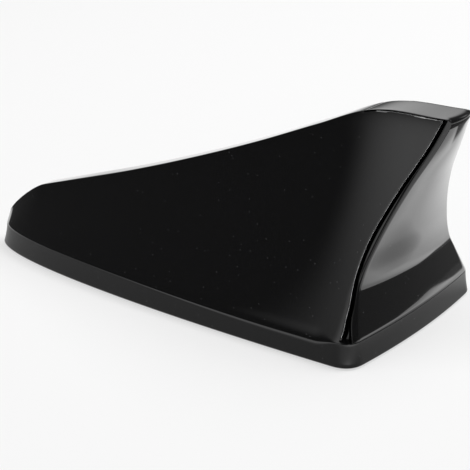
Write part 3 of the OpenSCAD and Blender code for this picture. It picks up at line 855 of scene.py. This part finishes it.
# %% Finishes of the solids
SPRING_BRASS = (0.72, 0.56, 0.3), (0.6, 0.45, 0.22)
BRIGHT_STEEL = (0.5, 0.5, 0.51), (0.4, 0.4, 0.41)
finishes = {
    "base_plate": (matt, (0.014, 0.014, 0.015), (0.022, 0.022, 0.024), 0.5, 2600, 0.00006),
    "adhesive_pad": (foam, (0.028, 0.028, 0.03), (0.012, 0.012, 0.013), 1400),
    "cover_seal": (matt, (0.012, 0.012, 0.012), (0.02, 0.02, 0.02), 0.65, 1800, 0.00004),
    "cable_grommet": (matt, (0.011, 0.011, 0.012), (0.019, 0.019, 0.02), 0.6, 1800, 0.00005),
    "ground_plate": (metal, (0.55, 0.56, 0.57), (0.42, 0.43, 0.45), 0.28, (0.08, 1, 1)),
    "earth_spring": (metal, *SPRING_BRASS, 0.3, (1, 0.1, 1)),
    "circuit_board": (board_lacquer,),
    "shield_can": (metal, (0.6, 0.61, 0.62), (0.48, 0.49, 0.51), 0.25, (0.1, 1, 1)),
    "amplifier_chip": (matt, (0.012, 0.012, 0.013), (0.02, 0.02, 0.021), 0.55, 4000, 0.00003),
    "chip_components": (matt, (0.22, 0.16, 0.09), (0.32, 0.25, 0.16), 0.4, 3000, 0.00003, 400),
    "supply_choke": (matt, (0.03, 0.03, 0.032), (0.055, 0.055, 0.058), 0.6, 2400, 0.00008),
    "buffer_capacitor": (metal, (0.5, 0.51, 0.53), (0.4, 0.41, 0.43), 0.3, (1, 1, 0.1)),
    "lead_socket": (metal, (0.78, 0.58, 0.24), (0.62, 0.44, 0.17), 0.22, (0.2, 1, 1)),
    "radiator_carrier": (matt, (0.62, 0.6, 0.54), (0.7, 0.68, 0.62), 0.45, 1600, 0.00005),
    "radiator_plate": (metal, (0.72, 0.4, 0.22), (0.58, 0.31, 0.17), 0.28, (0.08, 1, 1)),
    "coil_former": (matt, (0.6, 0.57, 0.5), (0.68, 0.65, 0.58), 0.5, 1800, 0.00004),
    "radiator_coil": (metal, (0.62, 0.24, 0.09), (0.5, 0.18, 0.07), 0.25, (1, 1, 1), 900),
    "feed_clip": (metal, *SPRING_BRASS, 0.3, (1, 1, 0.1)),
    "base_screws": (metal, (0.42, 0.43, 0.44), (0.32, 0.33, 0.34), 0.3),
    "board_screws": (metal, *BRIGHT_STEEL, 0.28),
    "carrier_screws": (metal, *BRIGHT_STEEL, 0.28),
}
for name, (kind, *values) in finishes.items():
    nodes[name].material_slots[0].material = kind(name, *values)
print("finished solids:", len(finishes))

# %% [markdown]
# The picture was taken on white. To the camera the floor shines a little, like a lit table, yet
# it keeps the shadow under the aerial. The skirt and the hollow rear face mirror the table, so
# what mirrors see of it is painted: darker close to the part and far away, lighter in a band
# behind the rear, and dark at the foot of the black card that is made later, on its far side.

# %% Floor
BOX_SHIFT, BOX_HALF = (0.006, 0.006, 0), (0.066, 0.024, 0)
BAND_LIGHTER = (0.4, 0.4, 0.4)
CARD_FACING = (0.937, 0.350, 0)
GLOW_TO_EYE, BELOW_PAD = 0.6, 0.00015

clear_selection()
bpy.ops.mesh.primitive_plane_add(size=8, location=(0, 0, -BELOW_PAD))
floor = bpy.context.object
floor.name = "floor"
pale, place, shader = new_finish("pale_table")
preset(shader, {"Base Color": (0.8, 0.8, 0.8, 1), "Roughness": 0.7, "Specular IOR Level": 0.0})
rays = place.node("LightPath").socket.node.outputs
camera_ray, clear_ray, by_mirror = [
    Socket(place.tree, rays[kind]) for kind in ("Is Camera Ray", "Is Transmission Ray", "Is Glossy Ray")]
by_eye = place.maths("MAXIMUM", camera_ray, clear_ray)

beside = place.vector("ADD", BOX_SHIFT).vector("ABSOLUTE").vector("SUBTRACT", BOX_HALF)
away = beside.vector("MAXIMUM").vector("LENGTH", out=1)
table = away.greys((0.032, 0.30), (0.043, 0.52), (0.049, 0.58), (0.054, 1.0),
                   (0.2, 1.0), (0.3, 0.85), (0.6, 0.42))
behind = place.axis(0).greys((0.1, 0.0), (0.11, 1.0), (0.12, 1.0), (0.132, 0.0))
table = table.vector("ADD", table.vector("MULTIPLY", behind).vector("MULTIPLY", BAND_LIGHTER))
to_card = place.vector("DOT_PRODUCT", CARD_FACING, out=1)
foot = to_card.greys((0.136, 1.0), (0.145, 0.12), (0.19, 0.12), (0.22, 1.0))
near_side = place.axis(1).greys((0.1, 1.0), (0.11, 0.0))
table = table.vector("MULTIPLY", foot.vector("MAXIMUM", near_side))

colour = place.blend(by_mirror, (1, 1, 1, 1), table)
glow = place.node("Emission", None, {"Color": colour, "Strength": 1.0})
mixed = place.node("MixShader", None, {
    0: by_eye * GLOW_TO_EYE + by_mirror, 1: Socket(place.tree, shader.outputs[0]), 2: glow})
output = next(n for n in place.tree.nodes if n.type == "OUTPUT_MATERIAL")
place.fill(output.inputs[0], mixed)
floor.data.materials.append(pale)
print("floor", round(floor.dimensions.x), "m wide")

# %% [markdown]
# Glossy black shows what stands round it. Two lamps light the table, and mirrors don't see them,
# because their images showed as white slivers on the part. A dim room gives the flank its black.
# Four soft screens, which only mirrors see, put in the light parts: a screen in front brightens
# the side band, and one behind lights the plateau.

# %% Lamps and screens
ROOM_GREY = 0.07
UNSEEN_BLACK = {"Base Color": (0, 0, 0, 1), "Specular IOR Level": 0.0, "Emission Strength": 1.0}


def soft_light(name, where, aim_at, size, power):
    """A lamp that mirrors don't see; its size is in metres and its power in watts."""
    clear_selection()
    bpy.ops.object.light_add(type="AREA", location=where)
    lamp = bpy.context.object
    lamp.name = name
    lamp.rotation_euler = (Vector(where) - Vector(aim_at)).to_track_quat("Z", "Y").to_euler()
    lamp.data.shape, lamp.data.size, lamp.data.size_y = "RECTANGLE", *size
    lamp.data.energy = power
    lamp.visible_glossy = False
    return lamp


def seen_by_mirrors_only(card):
    card.visible_camera = card.visible_diffuse = card.visible_shadow = False


def screen(name, azimuth, height, size, bright):
    """A glow a metre away, placed by two angles; the size is half its width and half its height."""
    az, el = math.radians(azimuth), math.radians(height)
    where = Vector((math.cos(az) * math.cos(el), math.sin(az) * math.cos(el), math.sin(el)))
    clear_selection()
    bpy.ops.mesh.primitive_plane_add(size=2, location=where)
    card = bpy.context.object
    card.name = name
    card.scale = (*size, 1)
    card.rotation_euler = where.to_track_quat("Z", "Y").to_euler()
    seen_by_mirrors_only(card)
    material, place, shader = new_finish(name)
    preset(shader, UNSEEN_BLACK)
    out = place.vector("LENGTH", out=1)
    smoothly = {"interpolation_type": "SMOOTHSTEP"}
    fade = place.node("MapRange", smoothly, {0: out, 1: 0.1, 2: 1.0, 3: 0.0, 4: 1.0})
    glow = place.blend(fade, (bright,) * 3 + (1,), (ROOM_GREY,) * 3 + (1,))
    place.fill(shader.inputs["Emission Color"], glow)
    card.data.materials.append(material)
    return card


soft_light("over_rear", (0.5, 0.9, 1.5), (0, 0, 0), (1.6, 1.2), 30)
soft_light("over_top", (-0.3, -0.2, 1.8), (0, 0, 0), (1.4, 1.4), 16)
screen("front_screen", -104, 30, (0.6, 0.6), 1.0)
screen("plateau_screen", 124, 23, (0.5, 0.38), 0.95)
screen("rear_screen", 70, 22, (0.2, 0.25), 0.5)
screen("side_screen", -33, 20, (0.2, 0.45), 1.3)

# %% [markdown]
# The lower half of the rear face is dark in the photograph, so it mirrors something dark. A low
# black card, close to the part and seen only by mirrors, does that without dimming the room.

# %% Black card and room
CARD_AT, CARD_SIZE, CARD_TURN = (0.1376, 0.0941, 0.02), (0.16, 0.002, 0.04), 110.5

clear_selection()
bpy.ops.mesh.primitive_cube_add(size=1, location=CARD_AT)
black_card = bpy.context.object
black_card.name = "black_card"
black_card.scale = CARD_SIZE
black_card.rotation_euler = (0, 0, math.radians(CARD_TURN))
seen_by_mirrors_only(black_card)
flocked, place, shader = new_finish("flocked_black")
flock = place.blend(place.noise(300), (0.006, 0.006, 0.006, 1), (0.01, 0.01, 0.01, 1))
place.fill(shader.inputs["Base Color"], flock)
preset(shader, {"Roughness": 1.0, "Specular IOR Level": 0.0,
                "Emission Color": (0.1, 0.1, 0.1, 1), "Emission Strength": 1.0})
black_card.data.materials.append(flocked)

world = bpy.data.worlds.new("dim_room")
bpy.context.scene.world = world
world.use_nodes = True
world.node_tree.nodes["Background"].inputs[0].default_value = (ROOM_GREY,) * 3 + (1,)
print("card", [round(1000 * d) for d in CARD_SIZE], "mm, room grey", ROOM_GREY)

# %% [markdown]
# The camera's tone stays plain.

# %% Tone and the end
bpy.context.scene.view_settings.view_transform = "Standard"
